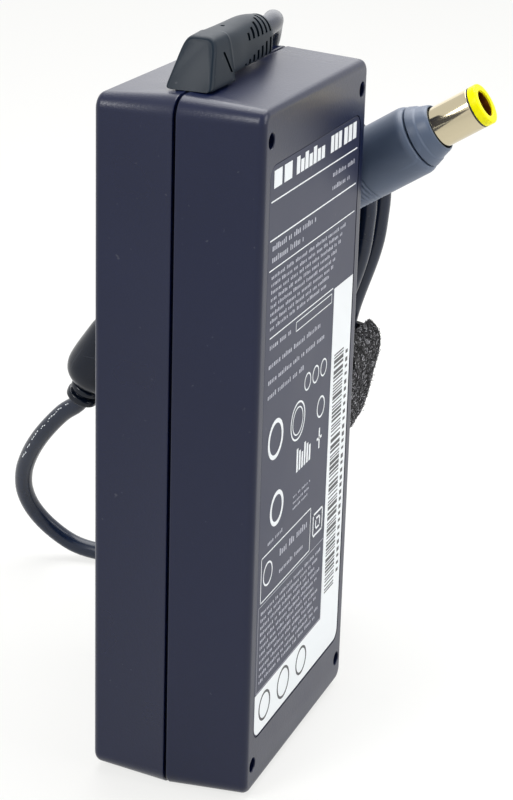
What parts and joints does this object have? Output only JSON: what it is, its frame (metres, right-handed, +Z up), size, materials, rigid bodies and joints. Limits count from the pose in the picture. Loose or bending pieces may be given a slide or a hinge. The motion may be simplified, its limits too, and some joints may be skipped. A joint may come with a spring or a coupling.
{
  "type": "laptop power adapter",
  "caption": "Slim black laptop power adapter standing on its inlet end, label side forward, with its output cord in a strapped hank, a ferrite sleeve and a yellow-tipped barrel plug.",
  "frame": {"origin": "on the surface that the inlet end stands on, at the middle of the case's box", "axes": "+Z up along the case towards the cord boot, X across its width, Y through its thickness with the label facing -Y"},
  "size_m": [0.0877, 0.1065, 0.1357],
  "materials": {
    "shell": "fine satin moulding, near black with a blue cast",
    "label": "printed film, slate grey with pale print",
    "rubber": "smooth satin, near black",
    "plug_rubber": "satin slate grey overmould with fine rings",
    "strap": "matt hook-and-loop pile, black",
    "black_plastic": "satin black",
    "yellow_plastic": "glossy bright yellow",
    "pale_plastic": "matt tape and bobbin",
    "plug_metal": "polished pale gold plating",
    "steel": "dull zinc plated",
    "aluminium": "satin sheet",
    "copper": "enamelled copper wire",
    "ferrite": "matt dark grey",
    "board": "green glass fibre laminate",
    "blue_plastic": "glossy blue sleeve",
    "red_insulation": "glossy red wire insulation",
    "white_insulation": "white wire insulation"
  },
  "bodies": {
    "root": {"base_shell": "shell", "cover_shell": "shell", "rating_label": "label", "case_screw_1": "steel", "case_screw_2": "steel", "case_screw_3": "steel", "case_screw_4": "steel", "inlet_housing": "black_plastic", "inlet_pin_live": "steel", "inlet_pin_neutral": "steel", "ac_wire_live": "white_insulation", "ac_wire_neutral": "white_insulation", "circuit_board": "board", "fuse": "black_plastic", "x_capacitor": "yellow_plastic", "y_capacitor": "blue_plastic", "thermistor": "black_plastic", "common_mode_choke": "copper", "bridge_rectifier": "black_plastic", "bulk_capacitor": "blue_plastic", "primary_heat_sink": "aluminium", "switching_transistor": "black_plastic", "control_board": "board", "optocoupler": "white_insulation", "transformer_core": "ferrite", "transformer_winding": "pale_plastic", "secondary_heat_sink": "aluminium", "output_rectifier": "black_plastic", "output_capacitor_1": "black_plastic", "output_capacitor_2": "black_plastic", "output_inductor": "copper", "insulation_sheet": "yellow_plastic", "cord_boot": "rubber", "dc_wire_positive": "red_insulation", "dc_wire_return": "black_plastic", "dc_cord_lead": "rubber", "dc_cord_hank": "rubber", "dc_cord_tail": "rubber", "cable_strap": "strap", "ferrite_jacket": "rubber", "ferrite_core": "ferrite", "plug_grip": "plug_rubber", "plug_collar": "plug_rubber", "plug_barrel": "plug_metal", "plug_tip_ring": "yellow_plastic", "plug_core": "black_plastic", "plug_contact": "plug_metal", "plug_centre_pin": "plug_metal"}
  },
  "joints": []
}
